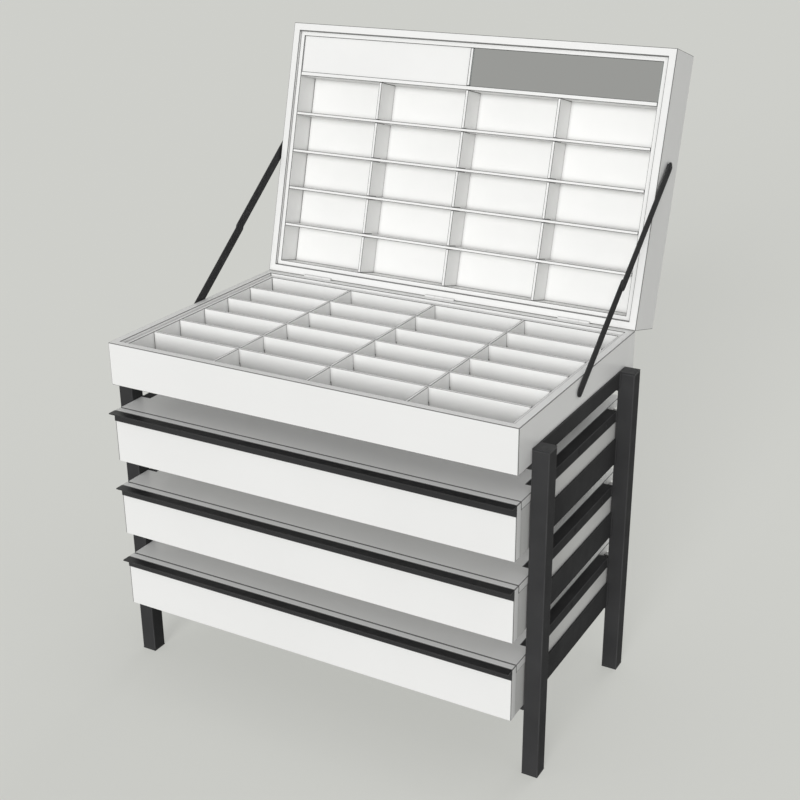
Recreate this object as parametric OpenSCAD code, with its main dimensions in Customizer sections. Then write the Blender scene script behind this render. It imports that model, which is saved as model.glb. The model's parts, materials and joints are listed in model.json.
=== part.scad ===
// Eyewear display cabinet: a tray of compartments with a deep lid, carried on a stand of
// square tube, over three drawers that slide under fixed shelf boards.
// X runs to the right, Y to the back and Z up. The origin lies on the floor, under the
// middle of the whole cabinet. The lid stands open, held by two folding stays.

/* [Case] */
// Width of the tray, the lid and the drawer fronts
case_w = 800; // [640:10:960]
// Depth of the tray and the lid
case_d = 500; // [440:10:560]
// Thickness of the boards of the tray, the lid, the shelves and the drawer fronts
board_t = 15; // [12:1:18]
// Height of the tray
tray_h = 80; // [70:1:100]
// Thickness of the closed lid
lid_h = 100; // [90:1:120]
// Angle that the open lid leans back past upright
lid_lean = 15; // [8:1:20]
// Gap between the rims of the tray and the closed lid
rim_gap = 0.3; // [0.2:0.05:0.6]

/* [Compartments] */
// Depth of the inserts below the rims of the tray and the lid
insert_recess = 6; // [3:1:9]
// Thickness of the insert walls, which show as a border bar
insert_wall = 9; // [6:1:12]
// Thickness of the floor of the tray insert
insert_floor_t = 5; // [3:1:8]
// Thickness of the dividers
divider_t = 6; // [4:1:8]
// Columns of compartments, in the tray, the lid and the drawers
cell_cols = 4; // [3:1:5]
// Rows of compartments in the tray
tray_rows = 6; // [4:1:7]
// Rows of compartments in the lid
lid_rows = 5; // [4:1:6]
// Depth of the compartments of the lid
lid_cell_depth = 54; // [44:1:60]
// Thickness of the board behind the compartments of the lid
cell_back_t = 6; // [4:1:8]
// Clearance in the half-laps of the dividers
lap_gap = 0.15; // [0.1:0.05:0.3]
// Hairline between boards of one insert or drawer box
seam_gap = 0.2; // [0.1:0.05:0.4]

/* [Header] */
// Height of the header, above the compartments of the open lid
header_h = 70; // [50:1:90]
// Thickness of the rail between the header and the compartments
header_rail_t = 8; // [6:1:12]
// Depth of the header panels below the border bar
header_recess = 2; // [1:0.5:4]
// Thickness of the blank header board
header_board_t = 6; // [4:1:10]
// Thickness of the header mirror
mirror_t = 4; // [3:1:6]

/* [Stand] */
// Width of the square tube of the posts
post_w = 30; // [25:1:40]
// Wall of the square tube of the posts
post_wall = 2; // [1.5:0.5:3]
// Distance from the front of the tray to the front posts
front_setback = 50; // [30:1:80]
// Distance from the back of the tray to the rear posts
rear_setback = 45; // [30:1:80]
// Thickness of the caps on the posts
cap_t = 2.5; // [2:0.5:4]
// Thickness of the glides under the posts
glide_t = 3; // [2:0.5:5]
// Length of the plugs of caps and glides inside the tube
plug_h = 12; // [8:1:20]
// Clearance round those plugs
plug_gap = 0.1; // [0.05:0.05:0.3]
// Height of the flat bars between the left and the right posts
crossbar_h = 10; // [6:1:16]
// Thickness of the steel angles
angle_t = 3; // [2:0.5:4]
// Width of the ledges of the steel angles
ledge_w = 25; // [18:1:35]
// Height of the angles under the tray
tray_angle_h = 30; // [20:1:40]
// Height of the angles under the drawers
runner_angle_h = 50; // [30:1:60]
// Width of the square rails that carry the shelf boards
rail_w = 20; // [17:1:25]
// Wall of those rails
rail_wall = 2; // [1:0.5:3]
// Length by which the rails lap the posts
rail_lap = 5; // [3:1:12]

/* [Drawers] */
// Height of the lowest drawer above the floor
ground_clear = 140; // [100:5:200]
// Height of a drawer front
drawer_h = 100; // [85:1:120]
// Space between one drawer and the next, and under the tray
drawer_gap = 50; // [40:1:70]
// Way that a drawer slides out
drawer_travel = 300; // [240:10:340]
// Thickness of the drawer sides and the drawer back
drawer_side_t = 12; // [9:1:15]
// Thickness of the drawer base
drawer_base_t = 6; // [4:1:9]
// Height of the drawer base above the runner ledges
drawer_base_lift = 3; // [2:1:6]
// Height of the dividers in a drawer
drawer_divider_h = 45; // [30:1:50]
// Distance from the back of a shelf board to the drawer box
drawer_rear_gap = 18; // [10:1:40]
// Clearance at each side of a drawer box
drawer_side_gap = 1; // [0.5:0.5:2]
// Clearance between a drawer box and the boards or rails above it
drawer_top_gap = 0.5; // [0.3:0.1:1]
// Height of the stop blocks under the shelf boards
stop_h = 12; // [9:1:16]
// Length of the stop blocks along the travel
stop_l = 12; // [8:1:20]
// Width of the stop blocks
stop_w = 30; // [15:1:50]

/* [Handles] */
// Way that the handle profile stands out from the drawer front
handle_reach = 16.5; // [12:0.5:25]
// Height of the leg of the handle profile on the drawer front
handle_leg_h = 20; // [14:1:30]
// Thickness of the handle profile
handle_t = 2; // [1.5:0.5:3]

/* [Hinges] */
// Length of a hinge
hinge_l = 60; // [40:1:80]
// Distance between neighbouring hinges
hinge_pitch = 280; // [180:10:300]
// Width of a hinge leaf, from the pin axis
hinge_leaf_w = 32; // [20:1:45]
// Thickness of a hinge leaf
hinge_leaf_t = 2; // [1.5:0.5:2.5]
// Radius of the hinge knuckles
knuckle_r = 3.5; // [3:0.25:5]
// Radius of the hinge pins
hinge_pin_r = 2; // [1.5:0.25:2.5]
// Thickness of the heads of the hinge pins
hinge_head_t = 1.5; // [1:0.5:3]
// Clearance between knuckles, and between knuckles and boards
hinge_gap = 0.3; // [0.2:0.05:0.5]

/* [Stays] */
// Width of the links of the folding stays
stay_w = 20; // [16:1:24]
// Thickness of those links
stay_t = 2; // [1.5:0.5:3]
// Pivot to elbow length of the lower link
stay_lower_l = 220; // [216:1:224]
// Distance from the front of the tray to the foot pivot
stay_foot_y = 238; // [235:1:241]
// Depth of the foot pivot below the tray rim
stay_foot_drop = 24; // [20:1:28]
// Distance from the back edge of the lid to the head pivot
stay_head_u = 296; // [293:1:299]
// Depth of the head pivot from the rim of the lid
stay_head_d = 44; // [40:1:48]
// Thickness of the washer between the tray and the lower link
stay_washer_t = 0.8; // [0.6:0.1:2]
// Radius of the washers
stay_washer_r = 7; // [5:0.5:8]
// Gap between the planes of the two links
stay_gap = 0.3; // [0.2:0.05:0.5]
// Radius of the pivot pins
stay_pin_r = 3; // [2:0.25:4]
// Radius of the heads of pins and rivets
stay_head_r = 6; // [4.5:0.25:7]
// Thickness of the heads of pins and rivets
stay_head_t = 1.2; // [0.8:0.2:2]
// Radial clearance of every pin in its bore
pin_gap = 0.05; // [0.02:0.01:0.09]

/* [Hidden] */
$fn = 48;
drawer_count = 3;
cut = 1;

side_x = case_w / 2;
open_lid_reach = case_d * sin(lid_lean) + lid_h * cos(lid_lean);
front_y = (handle_reach - case_d - open_lid_reach) / 2;
rear_y = front_y + case_d;

drawer_pitch = drawer_h + drawer_gap;
tray_z = ground_clear + drawer_count * drawer_pitch;
rim_z = tray_z + tray_h;

insert_x = side_x - board_t;
insert_front_y = front_y + board_t;
insert_rear_y = rear_y - board_t;
cell_x = insert_x - insert_wall;
cell_front_y = insert_front_y + insert_wall;
cell_rear_y = insert_rear_y - insert_wall;
insert_top_z = rim_z - insert_recess;
insert_low_z = tray_z + board_t;
cell_floor_z = insert_low_z + insert_floor_t;

col_pitch = (2 * cell_x + divider_t) / cell_cols;
divider_xs = [for (i = [1 : cell_cols - 1]) -cell_x - divider_t / 2 + i * col_pitch];
row_pitch = (cell_rear_y - cell_front_y) / tray_rows;
divider_ys = [for (i = [1 : tray_rows - 1]) cell_front_y + i * row_pitch];

border_u = board_t + insert_wall;
header_top_u = case_d - border_u;
header_low_u = header_top_u - header_h;
cells_top_u = header_low_u - header_rail_t;
lid_row_pitch = (cells_top_u - border_u) / lid_rows;
divider_us = [for (i = [1 : lid_rows - 1]) border_u + i * lid_row_pitch];
cell_back_d = insert_recess + lid_cell_depth;
lid_panel_d = lid_h - board_t;
header_face_d = insert_recess + header_recess;

post_h = tray_z - angle_t + tray_angle_h;
front_post_y = front_y + front_setback;
rear_post_y = rear_y - rear_setback - post_w;
span_front_y = front_post_y + post_w;
span_rear_y = rear_post_y;

box_front_y = front_y + board_t;
box_rear_y = rear_y - drawer_rear_gap;
box_x = side_x - drawer_side_gap;
box_in_x = box_x - drawer_side_t;
box_in_rear_y = box_rear_y - drawer_side_t;
rail_front_y = span_front_y - rail_lap;
rail_rear_y = span_rear_y + rail_lap;

hinge_y = rear_y;
hinge_z = rim_z;
hinge_xs = [-hinge_pitch, 0, hinge_pitch];
hinge_cove_r = knuckle_r + hinge_gap;
hinge_head_x = hinge_l / 2 + hinge_head_t;
knuckle_l = hinge_l / 3;

lid_open = 90 + lid_lean;
stay_foot = [front_y + stay_foot_y, rim_z - stay_foot_drop];
stay_head = opened([rear_y - stay_head_u, rim_z + stay_head_d]);
stay_len = norm(stay_head - stay_foot);
stay_rise = atan2(stay_head[1] - stay_foot[1], stay_head[0] - stay_foot[0]);
lower_plane_x = side_x + stay_washer_t;
upper_plane_x = lower_plane_x + stay_t + stay_gap;

// Bottom and top of a drawer, counted from the top drawer, 1
function drawer_z(k) = ground_clear + (drawer_count - k) * drawer_pitch;
function drawer_top(k) = drawer_z(k) + drawer_h;

// A point [y, z] of the closed lid, where it goes when the lid opens
function opened(p) =
    let (y = p[0] - hinge_y, z = p[1] - hinge_z, c = cos(-lid_open), s = sin(-lid_open))
    [hinge_y + c * y - s * z, hinge_z + s * y + c * z];

// A box between two corners
module block(low, high) {
    translate(low) cube(high - low);
}

// A shape and its mirror image at the other side
module both_sides() {
    children();
    mirror([1, 0, 0]) children();
}

// A shape in the Y-Z plane, with its thickness along X
module upright() {
    rotate([90, 0, 90]) children();
}

// Children drawn on the closed lid, swung open about the hinge pins
module on_open_lid() {
    translate([0, hinge_y, hinge_z])
        rotate([-lid_open, 0, 0])
            translate([0, -hinge_y, -hinge_z])
                children();
}

// A box on the closed lid: u runs from its back edge to its front, d up from its rim
module lid_block(x0, x1, u0, u1, d0, d1) {
    block([x0, rear_y - u1, rim_z + d0], [x1, rear_y - u0, rim_z + d1]);
}

// Stand

// Square prism on the axis of a post
module post_prism(w, z0, z1) {
    translate([-w / 2, -w / 2, z0]) cube([w, w, z1 - z0]);
}

module post(x_sign, y) {
    color("#2b2b2b")
        translate([x_sign * (side_x + post_w / 2), y + post_w / 2, 0])
            difference() {
                post_prism(post_w, glide_t, post_h - cap_t);
                post_prism(post_w - 2 * post_wall, glide_t - cut, post_h - cap_t + cut);
            }
}

// Plugs sit in the tube with a small clearance, under a cap or over a glide
module on_posts() {
    for (x_sign = [-1, 1], y = [front_post_y, rear_post_y])
        translate([x_sign * (side_x + post_w / 2), y + post_w / 2, 0])
            children();
}

module post_caps() {
    color("#222222") on_posts() {
        post_prism(post_w, post_h - cap_t, post_h);
        post_prism(post_w - 2 * (post_wall + plug_gap), post_h - cap_t - plug_h, post_h - cap_t);
    }
}

module foot_glides() {
    color("#1c1c1c") on_posts() {
        post_prism(post_w, 0, glide_t);
        post_prism(post_w - 2 * (post_wall + plug_gap), glide_t, glide_t + plug_h);
    }
}

module crossbars() {
    color("#2b2b2b")
        for (y = [front_post_y, rear_post_y], top = [tray_z, ground_clear])
            block([-side_x, y, top - crossbar_h], [side_x, y + post_w, top]);
}

// Steel angles between the posts: the ledge carries, the upright leg guides
module angles(top, leg_h) {
    color("#2b2b2b") both_sides() {
        block([side_x - ledge_w, span_front_y, top - angle_t], [side_x + angle_t, span_rear_y, top]);
        block([side_x, span_front_y, top - angle_t], [side_x + angle_t, span_rear_y, top - angle_t + leg_h]);
    }
}

// Square tubes between the posts, lapped on their inner faces
module shelf_rails(k) {
    top = drawer_top(k);
    color("#2b2b2b") both_sides()
        difference() {
            block([side_x - rail_w, rail_front_y, top - rail_w], [side_x, rail_rear_y, top]);
            block([side_x - rail_w + rail_wall, rail_front_y - cut, top - rail_w + rail_wall],
                  [side_x - rail_wall, rail_rear_y + cut, top - rail_wall]);
        }
}

// A shelf board covers a drawer, between its rails, and is wider in front of them
module shelf_board(k) {
    top = drawer_top(k);
    color("white")
        translate([0, 0, top - board_t])
            linear_extrude(board_t)
                polygon([
                    [-side_x, box_front_y], [side_x, box_front_y],
                    [side_x, rail_front_y], [side_x - rail_w, rail_front_y],
                    [side_x - rail_w, rear_y], [rail_w - side_x, rear_y],
                    [rail_w - side_x, rail_front_y], [-side_x, rail_front_y]
                ]);
}

// Blocks under the shelf boards, which the drawer back meets at full travel
module drawer_stops() {
    stop_rear_y = box_in_rear_y - drawer_travel;
    color("#d8d8d4") both_sides()
        for (k = [1 : drawer_count])
            block([side_x / 2 - stop_w / 2, stop_rear_y - stop_l, drawer_top(k) - board_t - stop_h],
                  [side_x / 2 + stop_w / 2, stop_rear_y, drawer_top(k) - board_t]);
}

// Tray

// The front and the rear board, the rear one coved for the hinge knuckles
module tray_end_boards() {
    color("white")
        difference() {
            for (y = [front_y, rear_y - board_t])
                block([-side_x, y, tray_z], [side_x, y + board_t, rim_z]);
            hinge_coves();
        }
}

module tray_side_boards() {
    color("white") both_sides()
        block([insert_x, insert_front_y, tray_z], [side_x, insert_rear_y, rim_z]);
}

module tray_bottom() {
    color("white") block([-insert_x, insert_front_y, tray_z], [insert_x, insert_rear_y, insert_low_z]);
}

module tray_insert_walls() {
    color("white") {
        for (y = [insert_front_y, cell_rear_y])
            block([-insert_x, y, insert_low_z], [insert_x, y + insert_wall, insert_top_z]);
        both_sides()
            block([cell_x, cell_front_y + seam_gap, insert_low_z],
                  [insert_x, cell_rear_y - seam_gap, insert_top_z]);
    }
}

module tray_insert_floor() {
    color("white") block([-cell_x, cell_front_y, insert_low_z], [cell_x, cell_rear_y, cell_floor_z]);
}

// Dividers cross in half-laps: the long ones are notched from the top, the cross ones
// from below, and each notch is wider than the divider in it by a clearance
module tray_long_dividers() {
    mid_z = (cell_floor_z + insert_top_z) / 2;
    notch = divider_t / 2 + lap_gap;
    color("white")
        for (x = divider_xs)
            difference() {
                block([x - divider_t / 2, cell_front_y, cell_floor_z],
                      [x + divider_t / 2, cell_rear_y, insert_top_z]);
                for (y = divider_ys)
                    block([x - divider_t, y - notch, mid_z - lap_gap],
                          [x + divider_t, y + notch, insert_top_z + cut]);
            }
}

module tray_cross_dividers() {
    mid_z = (cell_floor_z + insert_top_z) / 2;
    notch = divider_t / 2 + lap_gap;
    color("white")
        for (y = divider_ys)
            difference() {
                block([-cell_x, y - divider_t / 2, cell_floor_z],
                      [cell_x, y + divider_t / 2, insert_top_z]);
                for (x = divider_xs)
                    block([x - notch, y - divider_t, cell_floor_z - cut],
                          [x + notch, y + divider_t, mid_z]);
            }
}

// Lid

module lid_end_boards() {
    color("white") on_open_lid()
        difference() {
            for (u = [0, case_d - board_t])
                lid_block(-side_x, side_x, u, u + board_t, rim_gap, lid_h);
            hinge_coves();
        }
}

module lid_side_boards() {
    color("white") on_open_lid() both_sides()
        lid_block(insert_x, side_x, board_t, case_d - board_t, rim_gap, lid_h);
}

module lid_panel() {
    color("white") on_open_lid()
        lid_block(-insert_x, insert_x, board_t, case_d - board_t, lid_panel_d, lid_h);
}

module lid_insert_walls() {
    color("white") on_open_lid() {
        for (u = [board_t, header_top_u])
            lid_block(-insert_x, insert_x, u, u + insert_wall, insert_recess, lid_panel_d);
        both_sides()
            lid_block(cell_x, insert_x, border_u + seam_gap, header_top_u - seam_gap,
                      insert_recess, lid_panel_d);
    }
}

module lid_cell_back() {
    color("white") on_open_lid()
        lid_block(-cell_x, cell_x, border_u, header_top_u, cell_back_d, cell_back_d + cell_back_t);
}

module lid_long_dividers() {
    mid_d = (insert_recess + cell_back_d) / 2;
    notch = divider_t / 2 + lap_gap;
    color("white") on_open_lid()
        for (x = divider_xs)
            difference() {
                lid_block(x - divider_t / 2, x + divider_t / 2, border_u, cells_top_u,
                          insert_recess, cell_back_d);
                for (u = divider_us)
                    lid_block(x - divider_t, x + divider_t, u - notch, u + notch,
                              insert_recess - cut, mid_d);
            }
}

module lid_cross_dividers() {
    mid_d = (insert_recess + cell_back_d) / 2;
    notch = divider_t / 2 + lap_gap;
    color("white") on_open_lid()
        for (u = divider_us)
            difference() {
                lid_block(-cell_x, cell_x, u - divider_t / 2, u + divider_t / 2,
                          insert_recess, cell_back_d);
                for (x = divider_xs)
                    lid_block(x - notch, x + notch, u - divider_t, u + divider_t,
                              mid_d - lap_gap, cell_back_d + cut);
            }
}

// The long rail closes the top row of compartments, the short one parts the header
module header_rails() {
    color("white") on_open_lid() {
        lid_block(-cell_x, cell_x, cells_top_u, header_low_u, insert_recess, cell_back_d);
        lid_block(-divider_t / 2, divider_t / 2, header_low_u + seam_gap, header_top_u,
                  insert_recess, cell_back_d);
    }
}

module header_board() {
    color("white") on_open_lid()
        lid_block(-cell_x, -divider_t / 2, header_low_u, header_top_u,
                  header_face_d, header_face_d + header_board_t);
}

module header_mirror() {
    color("#999999") on_open_lid()
        lid_block(divider_t / 2, cell_x, header_low_u, header_top_u,
                  header_face_d, header_face_d + mirror_t);
}

// Hinges

// A round bar along X
module x_bar(r, x0, x1) {
    translate([x0, 0, 0]) rotate([0, 90, 0]) cylinder(r = r, h = x1 - x0);
}

// Room in the edges of the tray and the lid, round the knuckles and the pin heads
module hinge_coves() {
    for (x = hinge_xs)
        translate([x, hinge_y, hinge_z])
            x_bar(hinge_cove_r, -hinge_head_x - hinge_gap, hinge_head_x + hinge_gap);
}

// A leaf below the pin axis, flat on the back of its board, with a knuckle on each span
module hinge_leaf(spans) {
    difference() {
        union() {
            block([-hinge_l / 2, 0, -hinge_leaf_w], [hinge_l / 2, hinge_leaf_t, -hinge_cove_r]);
            for (s = spans) {
                block([s[0], 0, -hinge_cove_r], [s[1], hinge_leaf_t, 0]);
                x_bar(knuckle_r, s[0], s[1]);
            }
        }
        x_bar(hinge_pin_r + pin_gap, -hinge_l / 2 - cut, hinge_l / 2 + cut);
    }
}

module hinge_leaves_tray() {
    outer = [[-hinge_l / 2, -knuckle_l / 2 - hinge_gap], [knuckle_l / 2 + hinge_gap, hinge_l / 2]];
    color("silver")
        for (x = hinge_xs)
            translate([x, hinge_y, hinge_z]) hinge_leaf(outer);
}

module hinge_leaves_lid() {
    inner = [[-knuckle_l / 2, knuckle_l / 2]];
    color("silver") on_open_lid()
        for (x = hinge_xs)
            translate([x, hinge_y, hinge_z]) mirror([0, 0, 1]) hinge_leaf(inner);
}

module hinge_pins() {
    color("silver")
        for (x = hinge_xs)
            translate([x, hinge_y, hinge_z]) {
                x_bar(hinge_pin_r, -hinge_head_x, hinge_head_x);
                for (x0 = [-hinge_head_x, hinge_l / 2])
                    x_bar(knuckle_r, x0, x0 + hinge_head_t);
            }
}

// Stays

// A flat link along X with round ends, and a bore at its start
module link(length) {
    difference() {
        union() {
            cylinder(r = stay_w / 2, h = stay_t);
            translate([length, 0, 0]) cylinder(r = stay_w / 2, h = stay_t);
            translate([0, -stay_w / 2, 0]) cube([length, stay_w, stay_t]);
        }
        translate([0, 0, -cut]) cylinder(r = stay_pin_r + pin_gap, h = stay_t + 2 * cut);
    }
}

// The lower link swings on the tray. The inner end of the elbow rivet is on its inner face.
module stay_lower() {
    color("#222222")
        translate([lower_plane_x, stay_foot[0], stay_foot[1]])
            upright() rotate(stay_rise) {
                link(stay_lower_l);
                translate([stay_lower_l, 0, stay_gap - stay_washer_t])
                    cylinder(r = stay_head_r, h = stay_washer_t - stay_gap);
            }
}

// The upper link swings on the lid. The outer end of the elbow rivet is on its outer face.
module stay_upper() {
    upper_l = stay_len - stay_lower_l;
    color("#222222")
        translate([upper_plane_x, stay_head[0], stay_head[1]])
            upright() rotate(stay_rise + 180) {
                link(upper_l);
                translate([upper_l, 0, stay_t]) cylinder(r = stay_head_r, h = stay_head_t);
            }
}

// A shoulder pin along X: a washer, a shaft that the link turns on, and a head
module pivot_pin(washer_t) {
    upright() {
        cylinder(r = stay_washer_r, h = washer_t);
        cylinder(r = stay_pin_r, h = washer_t + stay_t + stay_gap);
        translate([0, 0, washer_t + stay_t + stay_gap]) cylinder(r = stay_head_r, h = stay_head_t);
    }
}

module stay_foot_pins() {
    color("#3a3a3a") both_sides()
        translate([side_x, stay_foot[0], stay_foot[1]]) pivot_pin(stay_washer_t);
}

module stay_head_pins() {
    color("#3a3a3a") both_sides()
        translate([side_x, stay_head[0], stay_head[1]]) pivot_pin(upper_plane_x - side_x);
}

// Drawers

module drawer_front(k) {
    color("white")
        block([-side_x, front_y, drawer_z(k)], [side_x, box_front_y, drawer_top(k)]);
}

// The sides are lower behind the front posts, where they pass under the rails
module drawer_walls(k) {
    low = drawer_z(k);
    rail_top = drawer_top(k) - rail_w - drawer_top_gap;
    board_top = drawer_top(k) - board_t - drawer_top_gap;
    step_y = rail_front_y - drawer_top_gap;
    color("#f2f2ee") {
        both_sides()
            translate([box_in_x, 0, 0])
                upright() linear_extrude(drawer_side_t)
                    polygon([
                        [box_front_y, low], [box_rear_y, low], [box_rear_y, rail_top],
                        [step_y, rail_top], [step_y, board_top], [box_front_y, board_top]
                    ]);
        block([seam_gap - box_in_x, box_in_rear_y, low], [box_in_x - seam_gap, box_rear_y, rail_top]);
    }
}

module drawer_base(k) {
    low = drawer_z(k) + drawer_base_lift;
    color("#f2f2ee")
        block([-box_in_x, box_front_y, low], [box_in_x, box_in_rear_y, low + drawer_base_t]);
}

module drawer_dividers(k) {
    low = drawer_z(k) + drawer_base_lift + drawer_base_t;
    color("#f2f2ee")
        for (x = divider_xs)
            block([x - divider_t / 2, box_front_y, low],
                  [x + divider_t / 2, box_in_rear_y, low + drawer_divider_h]);
}

// An angle profile over the full width, with its flange level with the drawer's top
module drawer_handle(k) {
    top = drawer_top(k);
    color("#222222") {
        block([-side_x, front_y - handle_t, top - handle_leg_h], [side_x, front_y, top]);
        block([-side_x, front_y - handle_reach, top - handle_t], [side_x, front_y, top]);
    }
}

post(-1, front_post_y);  // post_front_left
post(1, front_post_y);  // post_front_right
post(-1, rear_post_y);  // post_rear_left
post(1, rear_post_y);  // post_rear_right
post_caps();
foot_glides();
crossbars();
angles(tray_z, tray_angle_h);  // tray_angles
angles(drawer_z(1), runner_angle_h);  // runner_angles_1
angles(drawer_z(2), runner_angle_h);  // runner_angles_2
angles(drawer_z(3), runner_angle_h);  // runner_angles_3
shelf_rails(1);  // shelf_rails_1
shelf_rails(2);  // shelf_rails_2
shelf_rails(3);  // shelf_rails_3
shelf_board(1);  // shelf_board_1
shelf_board(2);  // shelf_board_2
shelf_board(3);  // shelf_board_3
drawer_stops();
tray_end_boards();
tray_side_boards();
tray_bottom();
tray_insert_walls();
tray_insert_floor();
tray_long_dividers();
tray_cross_dividers();
lid_end_boards();
lid_side_boards();
lid_panel();
lid_insert_walls();
lid_cell_back();
lid_long_dividers();
lid_cross_dividers();
header_rails();
header_board();
header_mirror();
hinge_leaves_tray();
hinge_leaves_lid();
hinge_pins();
mirror([1, 0, 0]) stay_lower();  // stay_lower_left
stay_lower();  // stay_lower_right
mirror([1, 0, 0]) stay_upper();  // stay_upper_left
stay_upper();  // stay_upper_right
stay_foot_pins();
stay_head_pins();
drawer_front(1);  // drawer_1_front
drawer_walls(1);  // drawer_1_walls
drawer_base(1);  // drawer_1_base
drawer_dividers(1);  // drawer_1_dividers
drawer_handle(1);  // drawer_1_handle
drawer_front(2);  // drawer_2_front
drawer_walls(2);  // drawer_2_walls
drawer_base(2);  // drawer_2_base
drawer_dividers(2);  // drawer_2_dividers
drawer_handle(2);  // drawer_2_handle
drawer_front(3);  // drawer_3_front
drawer_walls(3);  // drawer_3_walls
drawer_base(3);  // drawer_3_base
drawer_dividers(3);  // drawer_3_dividers
drawer_handle(3);  // drawer_3_handle
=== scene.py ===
# Looks of the eyewear display cabinet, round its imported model. Lengths are in metres.
import json
import math

import bmesh
import bpy
from mathutils import Matrix, Vector

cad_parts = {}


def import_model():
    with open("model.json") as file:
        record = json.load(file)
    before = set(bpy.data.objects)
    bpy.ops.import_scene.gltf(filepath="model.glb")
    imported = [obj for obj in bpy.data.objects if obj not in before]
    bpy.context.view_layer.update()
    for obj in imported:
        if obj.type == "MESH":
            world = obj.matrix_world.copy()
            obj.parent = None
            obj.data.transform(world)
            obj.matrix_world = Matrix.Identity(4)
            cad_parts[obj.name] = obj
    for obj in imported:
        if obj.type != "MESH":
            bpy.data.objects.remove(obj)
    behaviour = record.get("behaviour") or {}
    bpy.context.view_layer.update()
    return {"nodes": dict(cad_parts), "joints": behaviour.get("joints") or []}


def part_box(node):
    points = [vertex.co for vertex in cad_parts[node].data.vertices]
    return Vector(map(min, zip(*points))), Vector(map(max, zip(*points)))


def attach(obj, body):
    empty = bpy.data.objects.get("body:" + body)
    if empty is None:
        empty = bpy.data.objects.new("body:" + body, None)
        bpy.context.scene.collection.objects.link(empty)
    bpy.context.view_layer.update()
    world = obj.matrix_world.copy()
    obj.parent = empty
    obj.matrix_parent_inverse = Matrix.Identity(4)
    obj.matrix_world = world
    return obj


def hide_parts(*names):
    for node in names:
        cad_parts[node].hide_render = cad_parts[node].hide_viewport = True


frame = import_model()

MM = 0.001
SIDES = (-1, 1)
DRAWERS = (1, 2, 3)
POSTS = ("front_left", "front_right", "rear_left", "rear_right")

# Camera, solved on the edges of the cabinet in the photograph
CAMERA_PLACE = (1.1592, -2.05645, 1.4832)
CAMERA_AZIMUTH = 28.681
CAMERA_ELEVATION = 22.763
CAMERA_ROLL = -0.117
FOCAL_PIXELS = 1344.8
CENTRE_PIXEL = (419.49, 408.09)
PICTURE_PIXELS = 800
SENSOR_MM = 36.0
CAMERA_FAR = 200.0

# Light and stage. Each sun has its direction, strength and softness in degrees
BACKDROP = (0.604, 0.610, 0.578)
FLOOR_TONE = (0.36, 0.363, 0.346)
FLOOR_LIFT = 0.6
FLOOR_HALF = 40.0
FLOOR_ROUGHNESS = 0.9
FLOOR_PATCH = 0.8
FLOOR_SPREAD = 0.005
AMBIENT = 0.44
SUNS = (("key", (0.16, -0.95, 0.27), 0.67, 25), ("right_fill", (1.0, -0.2, 0.12), 0.07, 30),
        ("rear_fill", (0.1, 1.0, 0.35), 0.25, 40))

# Paint and wear, and painted shade in inner corners
WHITE = (0.86, 0.86, 0.85)
BLACK = (0.047, 0.047, 0.048)
SCUFF_EDGE = 0.1
# Painted shade: how far the ambient occlusion looks, and how dark it paints the corners it finds
CORNER_SHADE_REACH = 7 * MM
CORNER_SHADE_SAMPLES = 6
CORNER_SHADE_TONE = 0.35
CORNER_SHADE_FROM, CORNER_SHADE_TO = 0.45, 0.95

# Rounded edges
SHARP_ANGLE = math.radians(35)
WELD_REACH = 0.002 * MM
EDGE_SLOT = 1
SMOOTH = 3
CASE_ROUND = 1.2 * MM
FRAME_ROUND = 0.9 * MM
SHELF_ROUND = 1.0 * MM

# Joint behind each drawer front, and the room round the hinge knuckles
JOINT_WIDTH = 1.3 * MM
COVE_GAP = 0.3 * MM
COVE_POINTS = 40
HINGE_REACH = 100 * MM

# Screw heads: share of the radius and of the height at each ring, then the recess
HEAD_POINTS = 32
HEAD_PROFILE = ((1.0, 0.0), (1.0, 0.25), (0.93, 0.62), (0.78, 0.88), (0.6, 1.0))
RECESS_SHARE = 0.5
RECESS_TAPER = 0.85
RECESS_FLOOR = 0.3
CROSS_ARM = 0.28

# Welds: the section of a bead as shares of its leg, its ripples, and how it thins at its ends
BEAD_SECTION = ((0, 0), (1, 0), (0.78, 0.34), (0.55, 0.55), (0.34, 0.78), (0, 1))
BEAD_LEG = 2.4 * MM
RIPPLE = 3.2 * MM
RIPPLE_STEPS = 4
RIPPLE_DEPTH = 0.1
FEWEST_STEPS = 6
BEAD_END = 0.55
BEAD_RISE = 4


# Node graphs

def add(tree, kind, inputs=None, **settings):
    """A shader node with its settings, and its inputs set to values or linked to sockets."""
    made = tree.nodes.new(kind)
    for name, value in settings.items():
        setattr(made, name, value)
    for name, value in (inputs or {}).items():
        if isinstance(value, bpy.types.NodeSocket):
            tree.links.new(value, made.inputs[name])
        else:
            made.inputs[name].default_value = value
    return made


def noise(tree, place, size, detail=2.0, roughness=0.5):
    """Noise whose features are about `size` metres across."""
    made = add(tree, "ShaderNodeTexNoise", {"Vector": place, "Scale": 1 / size, "Detail": detail,
                                            "Roughness": roughness})
    return made.outputs["Fac"]


def spread(tree, value, low, high, start=0.3, stop=0.7):
    """`value` between start and stop, stretched to run from low to high."""
    made = add(tree, "ShaderNodeMapRange", {"Value": value, "From Min": start, "From Max": stop,
                                            "To Min": low, "To Max": high})
    return made.outputs["Result"]


def mixed(tree, share, first, second):
    """Two colours mixed by a share."""
    made = add(tree, "ShaderNodeMix", data_type="RGBA")
    sockets = made.inputs[0], made.inputs[6], made.inputs[7]
    for socket, value in zip(sockets, (share, first, second)):
        if isinstance(value, bpy.types.NodeSocket):
            tree.links.new(value, socket)
        elif isinstance(value, tuple):
            socket.default_value = (*value, 1.0)
        else:
            socket.default_value = value
    return made.outputs[2]


def shade(colour, factor):
    return tuple(channel * factor for channel in colour)


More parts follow.
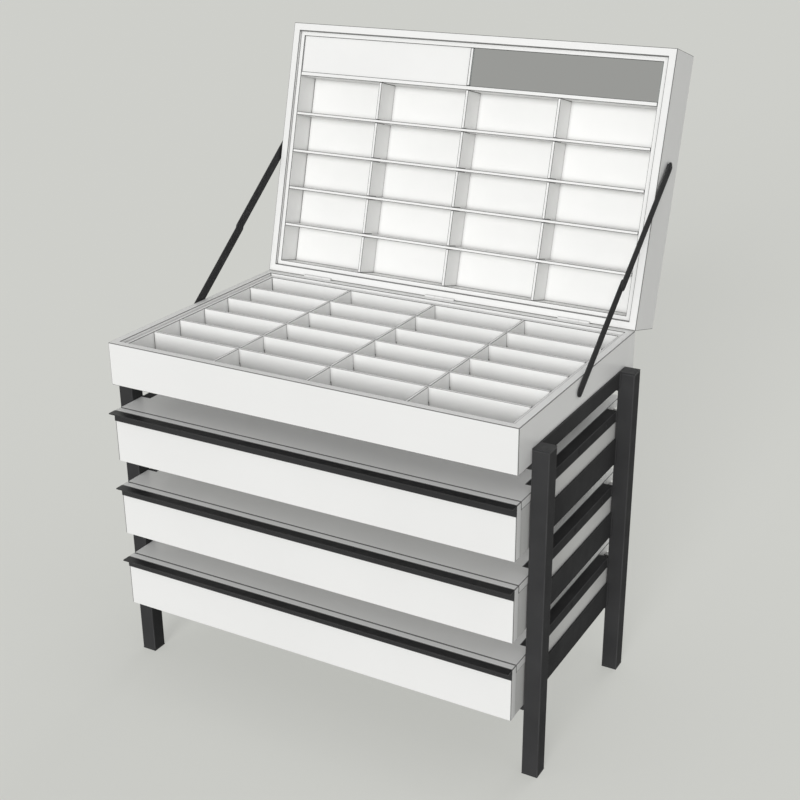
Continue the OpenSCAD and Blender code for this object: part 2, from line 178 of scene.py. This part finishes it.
def finish(name, colour, patch=0.12, patch_spread=0.03, rough=(0.35, 0.45), grain=0.002,
           grain_depth=0.00003, worn=None, worn_from=0.62, corner_shade=0.0, stretch=(1, 1, 1), **shader):
    """A surface with patches of colour, uneven gloss and a grain. `worn` is the colour of its
    scuffs, and `corner_shade` is how much painted shade darkens its inner corners and joints,
    where ambient occlusion finds other surfaces close by."""
    material = bpy.data.materials.new(name)
    material.use_nodes = True
    tree = material.node_tree
    principled = tree.nodes["Principled BSDF"]
    place = add(tree, "ShaderNodeTexCoord").outputs["Object"]
    drawn = add(tree, "ShaderNodeMapping", {"Vector": place, "Scale": stretch}).outputs["Vector"]
    patches = spread(tree, noise(tree, place, patch, detail=4.0), 0.0, 1.0)
    tone = mixed(tree, patches, shade(colour, 1 - patch_spread), shade(colour, 1 + patch_spread))
    if worn:
        scuffs = spread(tree, noise(tree, place, patch / 5, detail=6.0, roughness=0.7), 0.0, 1.0,
                        worn_from, worn_from + SCUFF_EDGE)
        tone = mixed(tree, scuffs, tone, worn)
    # Painted shade: the colour darkens where ambient occlusion finds other surfaces close by, in
    # inner corners and joints
    if corner_shade:
        openness = add(tree, "ShaderNodeAmbientOcclusion", {"Distance": CORNER_SHADE_REACH},
                       samples=CORNER_SHADE_SAMPLES)
        corners = spread(tree, openness.outputs["AO"], corner_shade, 0.0, CORNER_SHADE_FROM, CORNER_SHADE_TO)
        tone = mixed(tree, corners, tone, shade(colour, CORNER_SHADE_TONE))
    tree.links.new(tone, principled.inputs["Base Color"])
    smears = noise(tree, drawn, patch / 3, detail=5.0, roughness=0.6)
    tree.links.new(spread(tree, smears, *rough), principled.inputs["Roughness"])
    bumps = noise(tree, drawn, grain, detail=3.0)
    bump = add(tree, "ShaderNodeBump", {"Height": bumps, "Strength": 1.0, "Distance": grain_depth})
    tree.links.new(bump.outputs["Normal"], principled.inputs["Normal"])
    for socket, value in shader.items():
        principled.inputs[socket.replace("_", " ")].default_value = value
    return material


# Materials

def case_lacquer():
    return finish("case_lacquer", WHITE, patch=0.25, patch_spread=0.015, rough=(0.30, 0.42),
                  grain=0.0025, grain_depth=0.00002, corner_shade=0.3, Coat_Weight=0.15,
                  Coat_Roughness=0.2)


# Painted shade: the rounded edges of the white lacquer are painted dark, as shade lines along the
# edges and joints; the scuffs on them are wear
def case_shaded_edge():
    return finish("case_lacquer_shaded_edge", shade(WHITE, 0.2), patch=0.06, patch_spread=0.06,
                  rough=(0.45, 0.6), grain=0.0015, grain_depth=0.00004, worn=(0.28, 0.26, 0.23),
                  corner_shade=0.7)


def insert_lacquer():
    return finish("insert_lacquer", shade(WHITE, 1.01), patch=0.15, patch_spread=0.015,
                  rough=(0.45, 0.6), grain=0.0012, grain_depth=0.00002, corner_shade=0.3)


# Painted shade: the rounded edges of the insert are painted dark, as shade lines along the
# dividers and joints; the scuffs on them are wear
def insert_shaded_edge():
    return finish("insert_lacquer_shaded_edge", shade(WHITE, 0.14), patch=0.05, patch_spread=0.06,
                  rough=(0.5, 0.65), grain=0.001, grain_depth=0.00003, worn=(0.28, 0.26, 0.23),
                  worn_from=0.66, corner_shade=0.5)


def drawer_melamine():
    return finish("drawer_melamine", (0.68, 0.68, 0.665), patch=0.1, patch_spread=0.03,
                  rough=(0.4, 0.55), grain=0.0008, grain_depth=0.00003, corner_shade=0.35,
                  stretch=(1, 0.15, 1))


# Painted shade: the rounded edges of the drawer boxes are painted dark, as joint shadow along
# their edges; the scuffs on them are wear
def drawer_shaded_edge():
    return finish("drawer_melamine_shaded_edge", (0.16, 0.158, 0.15), patch=0.05, patch_spread=0.06,
                  rough=(0.45, 0.65), grain=0.001, grain_depth=0.00005, worn=(0.30, 0.26, 0.21),
                  corner_shade=0.7)


def powder_coat():
    return finish("powder_coat", BLACK, patch=0.08, patch_spread=0.12, rough=(0.45, 0.6),
                  grain=0.0009, grain_depth=0.00006, Specular_IOR_Level=0.01)


def powder_edge():
    return finish("powder_coat_edge", shade(BLACK, 1.2), patch=0.05, patch_spread=0.2,
                  rough=(0.4, 0.55), grain=0.0009, grain_depth=0.00004, worn=(0.11, 0.11, 0.115),
                  worn_from=0.66, Specular_IOR_Level=0.1)


def anodised():
    return finish("black_anodised", (0.036, 0.036, 0.038), patch=0.1, patch_spread=0.12,
                  rough=(0.28, 0.42), grain=0.0006, grain_depth=0.00002, stretch=(0.02, 1, 1),
                  Metallic=0.55)


def anodised_edge():
    return finish("black_anodised_edge", (0.06, 0.06, 0.062), patch=0.04, patch_spread=0.2,
                  rough=(0.25, 0.4), grain=0.0006, grain_depth=0.00002, worn=(0.30, 0.30, 0.31),
                  worn_from=0.66, Metallic=0.6)


def black_plastic():
    return finish("black_plastic", (0.030, 0.030, 0.032), patch=0.03, patch_spread=0.15,
                  rough=(0.5, 0.65), grain=0.0005, grain_depth=0.00004)


def hinge_lacquer():
    return finish("hinge_lacquer", shade(WHITE, 0.95), patch=0.02, patch_spread=0.04,
                  rough=(0.35, 0.5), grain=0.0006, grain_depth=0.00002, worn=(0.50, 0.50, 0.51),
                  worn_from=0.68, corner_shade=0.4)


def screw_steel():
    return finish("screw_steel", (0.50, 0.50, 0.51), patch=0.006, patch_spread=0.12,
                  rough=(0.25, 0.4), grain=0.0004, grain_depth=0.00002, Metallic=1.0)


def grey_mirror():
    return finish("grey_mirror", (0.53, 0.53, 0.535), patch=0.2, patch_spread=0.01,
                  rough=(0.02, 0.05), grain=0.08, grain_depth=0.00001, Metallic=1.0)


def mirror_edge():
    return finish("grey_mirror_edge", (0.42, 0.46, 0.45), patch=0.05, patch_spread=0.1,
                  rough=(0.1, 0.2), grain=0.001, grain_depth=0.00002, Metallic=0.6)


# Meshes

def new_piece(name, mesh, body, materials, replaced=()):
    """A piece of the object that rides on a body, with its place in its mesh."""
    piece = bpy.data.objects.new(name, mesh)
    bpy.context.scene.collection.objects.link(piece)
    for material in materials:
        mesh.materials.append(material)
    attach(piece, body)
    if replaced:
        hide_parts(*replaced)
    return piece


def mesh_from(name, bm):
    mesh = bpy.data.meshes.new(name)
    bmesh.ops.recalc_face_normals(bm, faces=bm.faces)
    bm.to_mesh(mesh)
    bm.free()
    return mesh


def rectangle(bm, low, high, z):
    """The four corners of a rectangle at height z."""
    return [bm.verts.new((x, y, z)) for x, y in
            ((low[0], low[1]), (high[0], low[1]), (high[0], high[1]), (low[0], high[1]))]


def band(bm, first, second):
    """Faces between two rings of as many points."""
    count = len(first)
    for i in range(count):
        j = (i + 1) % count
        bm.faces.new((first[i], first[j], second[j], second[i]))


def ring_mesh(outer, inner):
    """A rectangular ring, open at both ends. outer and inner are pairs of corners."""
    bm = bmesh.new()
    z0, z1 = outer[0][2], outer[1][2]
    rings = [rectangle(bm, *corners, z) for corners, z in
             ((outer, z0), (outer, z1), (inner, z1), (inner, z0))]
    for first, second in zip(rings, rings[1:] + rings[:1]):
        band(bm, first, second)
    return bm


def cover_mesh(outer, inner):
    """A box that is open below: its cavity ends at the top of inner."""
    bm = bmesh.new()
    low, top = outer[0][2], outer[1][2]
    rings = [rectangle(bm, *corners, z) for corners, z in
             ((outer, top), (outer, low), (inner, low), (inner, inner[1][2]))]
    for first, second in zip(rings, rings[1:]):
        band(bm, first, second)
    bm.faces.new(rings[0])
    bm.faces.new(rings[-1])
    return bm


def soften(piece, width, segments=2):
    """Rounds the edges, and gives the rounding the second material."""
    bevel = piece.modifiers.new("soft_edges", "BEVEL")
    bevel.width = width
    bevel.segments = segments
    bevel.limit_method = "ANGLE"
    bevel.angle_limit = SHARP_ANGLE
    bevel.material = EDGE_SLOT
    tidy = piece.modifiers.new("flat_faces", "WEIGHTED_NORMAL")
    tidy.keep_sharp = True
    for polygon in piece.data.polygons:
        polygon.use_smooth = True


def dress(node, slot_materials, width, segments):
    """New materials and soft edges on a CAD node, whose shape stays."""
    piece = frame["nodes"][node]
    piece.data.materials.clear()
    for material in slot_materials:
        piece.data.materials.append(material)
    weld = piece.modifiers.new("joined_corners", "WELD")
    weld.merge_threshold = WELD_REACH
    soften(piece, width, segments)


# Places on the lid are worked out with the lid shut

def joint(name):
    return next(j for j in frame["joints"] if j["name"] == name)


hinge = joint("lid_hinge")
HINGE_PLACE = Vector(hinge["pos_m"])
SHUT_ANGLE = math.radians(hinge["range_deg"][1])


def turned(angle):
    """A turn about the hinge pins."""
    return (Matrix.Translation(HINGE_PLACE) @ Matrix.Rotation(angle, 4, "X")
            @ Matrix.Translation(-HINGE_PLACE))


def shut_box(node):
    """Lowest and highest corner of a node of the lid, with the lid shut."""
    shut = turned(SHUT_ANGLE)
    points = [shut @ vertex.co for vertex in frame["nodes"][node].data.vertices]
    return (Vector([min(p[i] for p in points) for i in range(3)]),
            Vector([max(p[i] for p in points) for i in range(3)]))


def opened(bm):
    """A mesh made on the shut lid, swung to where the lid stands open."""
    bm.transform(turned(-SHUT_ANGLE))
    return bm


# Carcasses

def knuckle_coves(name):
    """Cutters for the room that the hinge knuckles need in the edges of the tray and the lid."""
    knuckle_low, knuckle_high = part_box("hinge_pins")
    radius = (knuckle_high.z - knuckle_low.z) / 2 + COVE_GAP
    bm = bmesh.new()
    for centre, length in hinge_spans():
        place = (Matrix.Translation((centre, HINGE_PLACE.y, HINGE_PLACE.z))
                 @ Matrix.Rotation(math.pi / 2, 4, "Y"))
        bmesh.ops.create_cone(bm, cap_ends=True, segments=COVE_POINTS, radius1=radius,
                              radius2=radius, depth=length, matrix=place)
    mesh = mesh_from(name, bm)
    cutter = bpy.data.objects.new(name, mesh)
    bpy.context.scene.collection.objects.link(cutter)
    return cutter


def hinge_spans():
    """Middle and length of the room for each hinge, from the gaps between the pins."""
    xs = sorted({round(v.co.x, 5) for v in frame["nodes"]["hinge_pins"].data.vertices})
    groups = []
    for x in xs:
        if groups and x - groups[-1][-1] < HINGE_REACH:
            groups[-1].append(x)
        else:
            groups.append([x])
    return [((g[0] + g[-1]) / 2, g[-1] - g[0] + 2 * COVE_GAP) for g in groups]


def cut_coves(piece):
    """Cuts the hinge coves out of a piece and keeps the result as its mesh."""
    cutter = knuckle_coves(piece.name + "_cutter")
    cut = piece.modifiers.new("coves", "BOOLEAN")
    cut.operation = "DIFFERENCE"
    cut.solver = "EXACT"
    cut.object = cutter
    bpy.context.view_layer.update()
    seen = piece.evaluated_get(bpy.context.evaluated_depsgraph_get())
    mesh = bpy.data.meshes.new_from_object(seen)
    piece.modifiers.clear()
    piece.data = mesh
    bpy.data.objects.remove(cutter)


def tray_shell(materials):
    """The four boards round the tray as one lacquered frame."""
    low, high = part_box("tray_end_boards")
    inner_low, inner_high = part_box("tray_bottom")
    bm = ring_mesh((low, high), (inner_low, inner_high))
    piece = new_piece("tray_shell", mesh_from("tray_shell", bm), "stand", materials,
                      ("tray_end_boards", "tray_side_boards"))
    soften(piece, CASE_ROUND, SMOOTH)
    cut_coves(piece)


def lid_shell(materials):
    """The boards and the outer panel of the lid as one lacquered cover."""
    low, high = shut_box("lid_end_boards")
    inner_low, inner_high = shut_box("lid_panel")
    cavity_high = Vector((inner_high.x, inner_high.y, inner_low.z))
    bm = opened(cover_mesh((low, high), (inner_low, cavity_high)))
    piece = new_piece("lid_shell", mesh_from("lid_shell", bm), "lid", materials,
                      ("lid_end_boards", "lid_side_boards", "lid_panel"))
    soften(piece, CASE_ROUND, SMOOTH)
    cut_coves(piece)


def shelf_boards(materials):
    """The boards over the drawers, with a narrow joint behind each drawer front."""
    for k in DRAWERS:
        node = f"shelf_board_{k}"
        low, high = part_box(node)
        rail_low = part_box(f"shelf_rails_{k}")[0]
        waist = min(abs(v.co.x) for v in frame["nodes"][f"shelf_rails_{k}"].data.vertices)
        outline = [(high.x, low.y + JOINT_WIDTH), (high.x, rail_low.y), (waist, rail_low.y),
                   (waist, high.y)]
        outline += [(-x, y) for x, y in reversed(outline)]
        bm = bmesh.new()
        rings = [[bm.verts.new((x, y, z)) for x, y in outline] for z in (low.z, high.z)]
        band(bm, *rings)
        for ring in rings:
            bm.faces.new(ring)
        name = f"shelf_panel_{k}"
        piece = new_piece(name, mesh_from(name, bm), "stand", materials, (node,))
        soften(piece, SHELF_ROUND)


def insert_frames(materials):
    """The border bars of the tray and the lid, each as one mitred frame."""
    low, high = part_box("tray_insert_walls")
    bm = ring_mesh((low, high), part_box("tray_insert_floor"))
    tray = new_piece("tray_insert_frame", mesh_from("tray_insert_frame", bm), "stand",
                     materials, ("tray_insert_walls",))
    soften(tray, FRAME_ROUND)
    bm = opened(ring_mesh(shut_box("lid_insert_walls"), shut_box("lid_cell_back")))
    lid = new_piece("lid_insert_frame", mesh_from("lid_insert_frame", bm), "lid",
                    materials, ("lid_insert_walls",))
    soften(lid, FRAME_ROUND)


# Small fasteners and welds

def recess_radius(kind, angle, size):
    """How far a screw's recess reaches at an angle: a cross or a hexagon."""
    if kind == "hex":
        sector = (angle % (math.pi / 3)) - math.pi / 6
        return size * math.cos(math.pi / 6) / math.cos(sector)
    c, s = abs(math.cos(angle)) + 1e-9, abs(math.sin(angle)) + 1e-9
    arm = size * CROSS_ARM
    return max(min(size / c, arm / s), min(size / s, arm / c))


def screw_head(bm, centre, axis, radius, height, recess):
    """A domed head with a recess, standing on centre along axis."""
    turn = Vector(axis).to_track_quat("Z", "Y").to_matrix().to_4x4()
    place = Matrix.Translation(centre) @ turn
    angles = [2 * math.pi * i / HEAD_POINTS for i in range(HEAD_POINTS)]

    def ring(reaches, level):
        points = [Vector((reach * math.cos(a), reach * math.sin(a), level))
                  for reach, a in zip(reaches, angles)]
        return [bm.verts.new(place @ point) for point in points]

    rings = [ring([radius * share] * HEAD_POINTS, height * level) for share, level in HEAD_PROFILE]
    size = radius * RECESS_SHARE
    for reach, level in ((size, 1.0), (size * RECESS_TAPER, RECESS_FLOOR)):
        rings.append(ring([recess_radius(recess, a, reach) for a in angles], height * level))
    for first, second in zip(rings, rings[1:]):
        band(bm, first, second)
    bm.faces.new(rings[-1])
    bm.faces.new(list(reversed(rings[0])))


def heads_piece(name, body, material, heads):
    """One piece of several heads, each given as (centre, axis, radius, height, recess)."""
    bm = bmesh.new()
    for head in heads:
        screw_head(bm, *head)
    piece = new_piece(name, mesh_from(name, bm), body, [material])
    for polygon in piece.data.polygons:
        polygon.use_smooth = len(polygon.vertices) == 4
    return piece


def hinge_screws(material):
    """Three countersunk screws in each hinge leaf."""
    radius, height, leaf = 3.2 * MM, 0.5 * MM, 2.0 * MM
    steps = ((-0.32, 12 * MM), (0.0, 22 * MM), (0.32, 12 * MM))
    back = HINGE_PLACE.y + leaf
    tray, lid = [], []
    for centre, length in hinge_spans():
        for step, drop in steps:
            x = centre + step * length
            tray.append(((x, back, HINGE_PLACE.z - drop), (0, 1, 0), radius, height, "cross"))
            lid.append(((x, back, HINGE_PLACE.z + drop), (0, 1, 0), radius, height, "cross"))
    heads_piece("hinge_screws_tray", "stand", material, tray)
    opening = turned(-SHUT_ANGLE)
    swung = [(opening @ Vector(place), opening.to_3x3() @ Vector(axis), *rest)
             for place, axis, *rest in lid]
    heads_piece("hinge_screws_lid", "lid", material, swung)


def rail_screws(material):
    """Socket screws through the rails into the edges of the shelf boards."""
    radius, height, shares = 3.6 * MM, 1.8 * MM, (0.15, 0.5, 0.85)
    heads = []
    for k in DRAWERS:
        low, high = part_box(f"shelf_rails_{k}")
        level = (low.z + high.z) / 2
        for side in SIDES:
            for share in shares:
                y = low.y + share * (high.y - low.y)
                heads.append(((side * high.x, y, level), (side, 0, 0), radius, height, "hex"))
    heads_piece("rail_screws", "stand", material, heads)


def drawer_screws(material):
    """Screws through the sides of each drawer box into the ends of its back."""
    radius, height = 3.6 * MM, 0.5 * MM
    inset, rises = 6 * MM, (18 * MM, 58 * MM)
    for k in DRAWERS:
        low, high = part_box(f"drawer_{k}_walls")
        heads = [((side * high.x, high.y - inset, low.z + rise), (side, 0, 0), radius, height,
                  "cross") for side in SIDES for rise in rises]
        heads_piece(f"drawer_{k}_screws", f"drawer_{k}", material, heads)


def ledge_screws(material):
    """Screws up through the ledges of the top angles into the tray."""
    radius, height, inset, shares = 4 * MM, 1.8 * MM, 3 * MM, (0.12, 0.5, 0.88)
    low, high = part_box("tray_angles")
    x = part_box("tray_bottom")[1].x + inset
    heads = []
    for side in SIDES:
        for share in shares:
            y = low.y + share * (high.y - low.y)
            heads.append(((side * x, y, low.z), (0, 0, -1), radius, height, "cross"))
    heads_piece("ledge_screws", "stand", material, heads)


def stay_bolts(material):
    """Button heads on the pivots of the stays, and on their elbows."""
    radius, height = 4.6 * MM, 0.9 * MM
    for name, body in (("stay_foot_pins", "stand"), ("stay_head_pins", "lid")):
        low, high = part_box(name)
        y, z = (low.y + high.y) / 2, (low.z + high.z) / 2
        heads = [((side * high.x, y, z), (side, 0, 0), radius, height, "hex") for side in SIDES]
        heads_piece(name.replace("pins", "bolts"), body, material, heads)
    foot = Vector(joint("stay_lower_right_pivot")["pos_m"])
    head = Vector(joint("stay_upper_right_pivot")["pos_m"])
    low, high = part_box("stay_lower_right")
    reach = high.y - (foot.y - low.y) - foot.y
    elbow = foot.lerp(head, reach / (head.y - foot.y))
    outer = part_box("stay_upper_right")[1].x
    for side, name in ((-1, "left"), (1, "right")):
        centre = (side * outer, elbow.y, elbow.z)
        heads_piece(f"stay_elbow_{name}", f"stay_upper_{name}", material,
                    [(centre, (side, 0, 0), radius, height, "hex")])


def weld_bead(bm, start, stop, side_a, side_b):
    """A rippled fillet along a corner, between two faces that lie along side_a and side_b."""
    start, stop, side_a, side_b = (Vector(v) for v in (start, stop, side_a, side_b))
    length = (stop - start).length
    steps = max(FEWEST_STEPS, round(length / RIPPLE * RIPPLE_STEPS))
    rings = []
    for i in range(steps + 1):
        share = i / steps
        along = start.lerp(stop, share)
        taper = min(1.0, BEAD_END + BEAD_RISE * min(share, 1 - share))
        swell = 1 + RIPPLE_DEPTH * math.cos(2 * math.pi * share * length / RIPPLE)
        leg = BEAD_LEG * taper * swell
        rings.append([bm.verts.new(along + leg * (a * side_a + b * side_b))
                      for a, b in BEAD_SECTION])
    for first, second in zip(rings, rings[1:]):
        band(bm, first, second)
    bm.faces.new(rings[0])
    bm.faces.new(rings[-1])


def stand_welds(material):
    """Welds where the angles, the rails and the crossbars meet the posts."""
    bm = bmesh.new()
    front_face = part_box("post_front_right")[1].y
    rear_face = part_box("post_rear_right")[0].y
    inner_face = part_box("post_front_right")[0].x
    members = ["tray_angles"]
    members += [f"{kind}_{k}" for kind in ("runner_angles", "shelf_rails") for k in DRAWERS]
    for node in members:
        low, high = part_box(node)
        for side in SIDES:
            for y, away in ((front_face, 1), (rear_face, -1)):
                x = side * high.x
                weld_bead(bm, (x, y, low.z), (x, y, high.z), (side, 0, 0), (0, away, 0))
    bar_height = 10 * MM
    tops = (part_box("crossbars")[1].z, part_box("crossbars")[0].z + bar_height)
    for node in ("post_front_right", "post_rear_right"):
        low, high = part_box(node)
        for top in tops:
            for side in SIDES:
                x, z = side * inner_face, top - bar_height
                weld_bead(bm, (x, low.y + BEAD_LEG, z), (x, high.y - BEAD_LEG, z), (-side, 0, 0),
                          (0, 0, -1))
    piece = new_piece("stand_welds", mesh_from("stand_welds", bm), "stand",
                      [material])
    for polygon in piece.data.polygons:
        polygon.use_smooth = len(polygon.vertices) == 4


# The cabinet

def dress_cabinet():
    lacquer, lacquer_shaded_edge = case_lacquer(), case_shaded_edge()
    insert, insert_shaded_rim = insert_lacquer(), insert_shaded_edge()
    melamine, melamine_shaded_edge = drawer_melamine(), drawer_shaded_edge()
    black, black_edge = powder_coat(), powder_edge()
    handle, handle_edge = anodised(), anodised_edge()
    plastic, leaf, screw = black_plastic(), hinge_lacquer(), screw_steel()
    mirror, glass_edge = grey_mirror(), mirror_edge()

    frame_nodes = ["crossbars", "tray_angles"] + [f"runner_angles_{k}" for k in DRAWERS]
    insert_nodes = ["tray_insert_floor", "tray_long_dividers", "tray_cross_dividers",
                    "lid_cell_back", "lid_long_dividers", "lid_cross_dividers", "header_rails",
                    "header_board"]
    hinge_nodes = ["hinge_leaves_tray", "hinge_leaves_lid", "hinge_pins"]
    stay_nodes = ["stay_lower_left", "stay_lower_right", "stay_upper_left", "stay_upper_right",
                  "stay_foot_pins", "stay_head_pins"]
    box_nodes = [f"drawer_{k}_{part}" for k in DRAWERS for part in ("walls", "base", "dividers")]
    # Nodes, their two materials, the rounding of their edges in millimetres and its steps
    looks = (([f"post_{post}" for post in POSTS], (black, black_edge), 1.6, SMOOTH),
             (["post_caps", "foot_glides"], (plastic, plastic), 0.7, 2),
             (frame_nodes, (black, black_edge), 0.6, 2),
             ([f"shelf_rails_{k}" for k in DRAWERS], (black, black_edge), 0.9, 2),
             ([f"drawer_{k}_front" for k in DRAWERS], (lacquer, lacquer_shaded_edge), 1.4, SMOOTH),
             ([f"drawer_{k}_handle" for k in DRAWERS], (handle, handle_edge), 0.4, 2),
             (box_nodes, (melamine, melamine_shaded_edge), 0.8, 2),
             (["drawer_stops"], (melamine, melamine_shaded_edge), 0.6, 2),
             (["tray_bottom"], (lacquer, lacquer_shaded_edge), 0.5, 2),
             (insert_nodes, (insert, insert_shaded_rim), 1.0, 2),
             (["header_mirror"], (mirror, glass_edge), 1.2, 1),
             (hinge_nodes, (leaf, leaf), 0.3, 2),
             (stay_nodes, (black, black_edge), 0.4, 2))
    for nodes, materials, width, segments in looks:
        for node in nodes:
            dress(node, materials, width * MM, segments)

    tray_shell((lacquer, lacquer_shaded_edge))
    lid_shell((lacquer, lacquer_shaded_edge))
    shelf_boards((lacquer, lacquer_shaded_edge))
    insert_frames((insert, insert_shaded_rim))
    hinge_screws(screw)
    drawer_screws(screw)
    rail_screws(black)
    ledge_screws(black)
    stay_bolts(black)
    stand_welds(black)


# Stage

def either_ray(tree, first, second, third=None):
    """One for a ray of any of the kinds named, and zero for the others."""
    path = add(tree, "ShaderNodeLightPath")
    seen = add(tree, "ShaderNodeMath", {0: path.outputs[first], 1: path.outputs[second]},
               operation="ADD", use_clamp=True)
    if third:
        seen = add(tree, "ShaderNodeMath", {0: seen.outputs[0], 1: path.outputs[third]},
                   operation="ADD", use_clamp=True)
    return seen.outputs[0]


def stage_material(name, colour, lift):
    """A pale floor, lifted to the backdrop's colour for the camera and reflections alone."""
    material = bpy.data.materials.new(name)
    material.use_nodes = True
    tree = material.node_tree
    principled = tree.nodes["Principled BSDF"]
    place = add(tree, "ShaderNodeTexCoord").outputs["Object"]
    patches = noise(tree, place, FLOOR_PATCH, detail=3.0)
    tone = mixed(tree, patches, shade(colour, 1 - FLOOR_SPREAD), shade(colour, 1 + FLOOR_SPREAD))
    tree.links.new(tone, principled.inputs["Base Color"])
    principled.inputs["Roughness"].default_value = FLOOR_ROUGHNESS
    principled.inputs["Specular IOR Level"].default_value = 0.0
    seen = either_ray(tree, "Is Camera Ray", "Is Glossy Ray")
    dark = add(tree, "ShaderNodeEmission", {"Strength": 0.0})
    glow = add(tree, "ShaderNodeEmission", {"Color": (*BACKDROP, 1.0), "Strength": lift})
    choice = add(tree, "ShaderNodeMixShader",
                 {0: seen, 1: dark.outputs[0], 2: glow.outputs[0]})
    both = add(tree, "ShaderNodeAddShader", {0: principled.outputs[0], 1: choice.outputs[0]})
    tree.links.new(both.outputs[0], tree.nodes["Material Output"].inputs["Surface"])
    return material


def floor():
    bm = bmesh.new()
    bm.faces.new(rectangle(bm, (-FLOOR_HALF, -FLOOR_HALF), (FLOOR_HALF, FLOOR_HALF), 0.0))
    mesh = mesh_from("floor", bm)
    mesh.materials.append(stage_material("pale_floor", FLOOR_TONE, FLOOR_LIFT))
    plane = bpy.data.objects.new("floor", mesh)
    bpy.context.scene.collection.objects.link(plane)


def world():
    """Even light from all round; the camera and reflections see the backdrop colour."""
    made = bpy.data.worlds.new("studio")
    bpy.context.scene.world = made
    made.use_nodes = True
    tree = made.node_tree
    tree.nodes.clear()
    seen = either_ray(tree, "Is Camera Ray", "Is Glossy Ray", "Is Transmission Ray")
    light = add(tree, "ShaderNodeBackground", {"Color": (1.0, 1.0, 1.0, 1.0), "Strength": AMBIENT})
    view = add(tree, "ShaderNodeBackground", {"Color": (*BACKDROP, 1.0), "Strength": 1.0})
    choice = add(tree, "ShaderNodeMixShader",
                 {0: seen, 1: light.outputs[0], 2: view.outputs[0]})
    end = add(tree, "ShaderNodeOutputWorld")
    tree.links.new(choice.outputs[0], end.inputs["Surface"])


def lamps():
    for name, towards, strength, softness in SUNS:
        lamp = bpy.data.lights.new(name, "SUN")
        lamp.energy = strength * math.pi
        lamp.angle = math.radians(softness)
        holder = bpy.data.objects.new(name, lamp)
        holder.rotation_euler = Vector(towards).to_track_quat("Z", "Y").to_euler()
        holder.visible_glossy = False
        bpy.context.scene.collection.objects.link(holder)


def camera():
    data = bpy.data.cameras.new("camera")
    data.sensor_width = SENSOR_MM
    data.lens = FOCAL_PIXELS * SENSOR_MM / PICTURE_PIXELS
    half = PICTURE_PIXELS / 2
    data.shift_x = (half - CENTRE_PIXEL[0]) / PICTURE_PIXELS
    data.shift_y = (CENTRE_PIXEL[1] - half) / PICTURE_PIXELS
    data.clip_end = CAMERA_FAR
    holder = bpy.data.objects.new("camera", data)
    azimuth, elevation = math.radians(CAMERA_AZIMUTH), math.radians(CAMERA_ELEVATION)
    turn = (Matrix.Rotation(azimuth, 4, "Z") @ Matrix.Rotation(math.pi / 2 - elevation, 4, "X")
            @ Matrix.Rotation(math.radians(CAMERA_ROLL), 4, "Z"))
    holder.matrix_world = Matrix.Translation(CAMERA_PLACE) @ turn
    bpy.context.scene.collection.objects.link(holder)
    bpy.context.scene.camera = holder


camera()
dress_cabinet()
floor()
world()
lamps()
bpy.context.scene.view_settings.view_transform = "Standard"
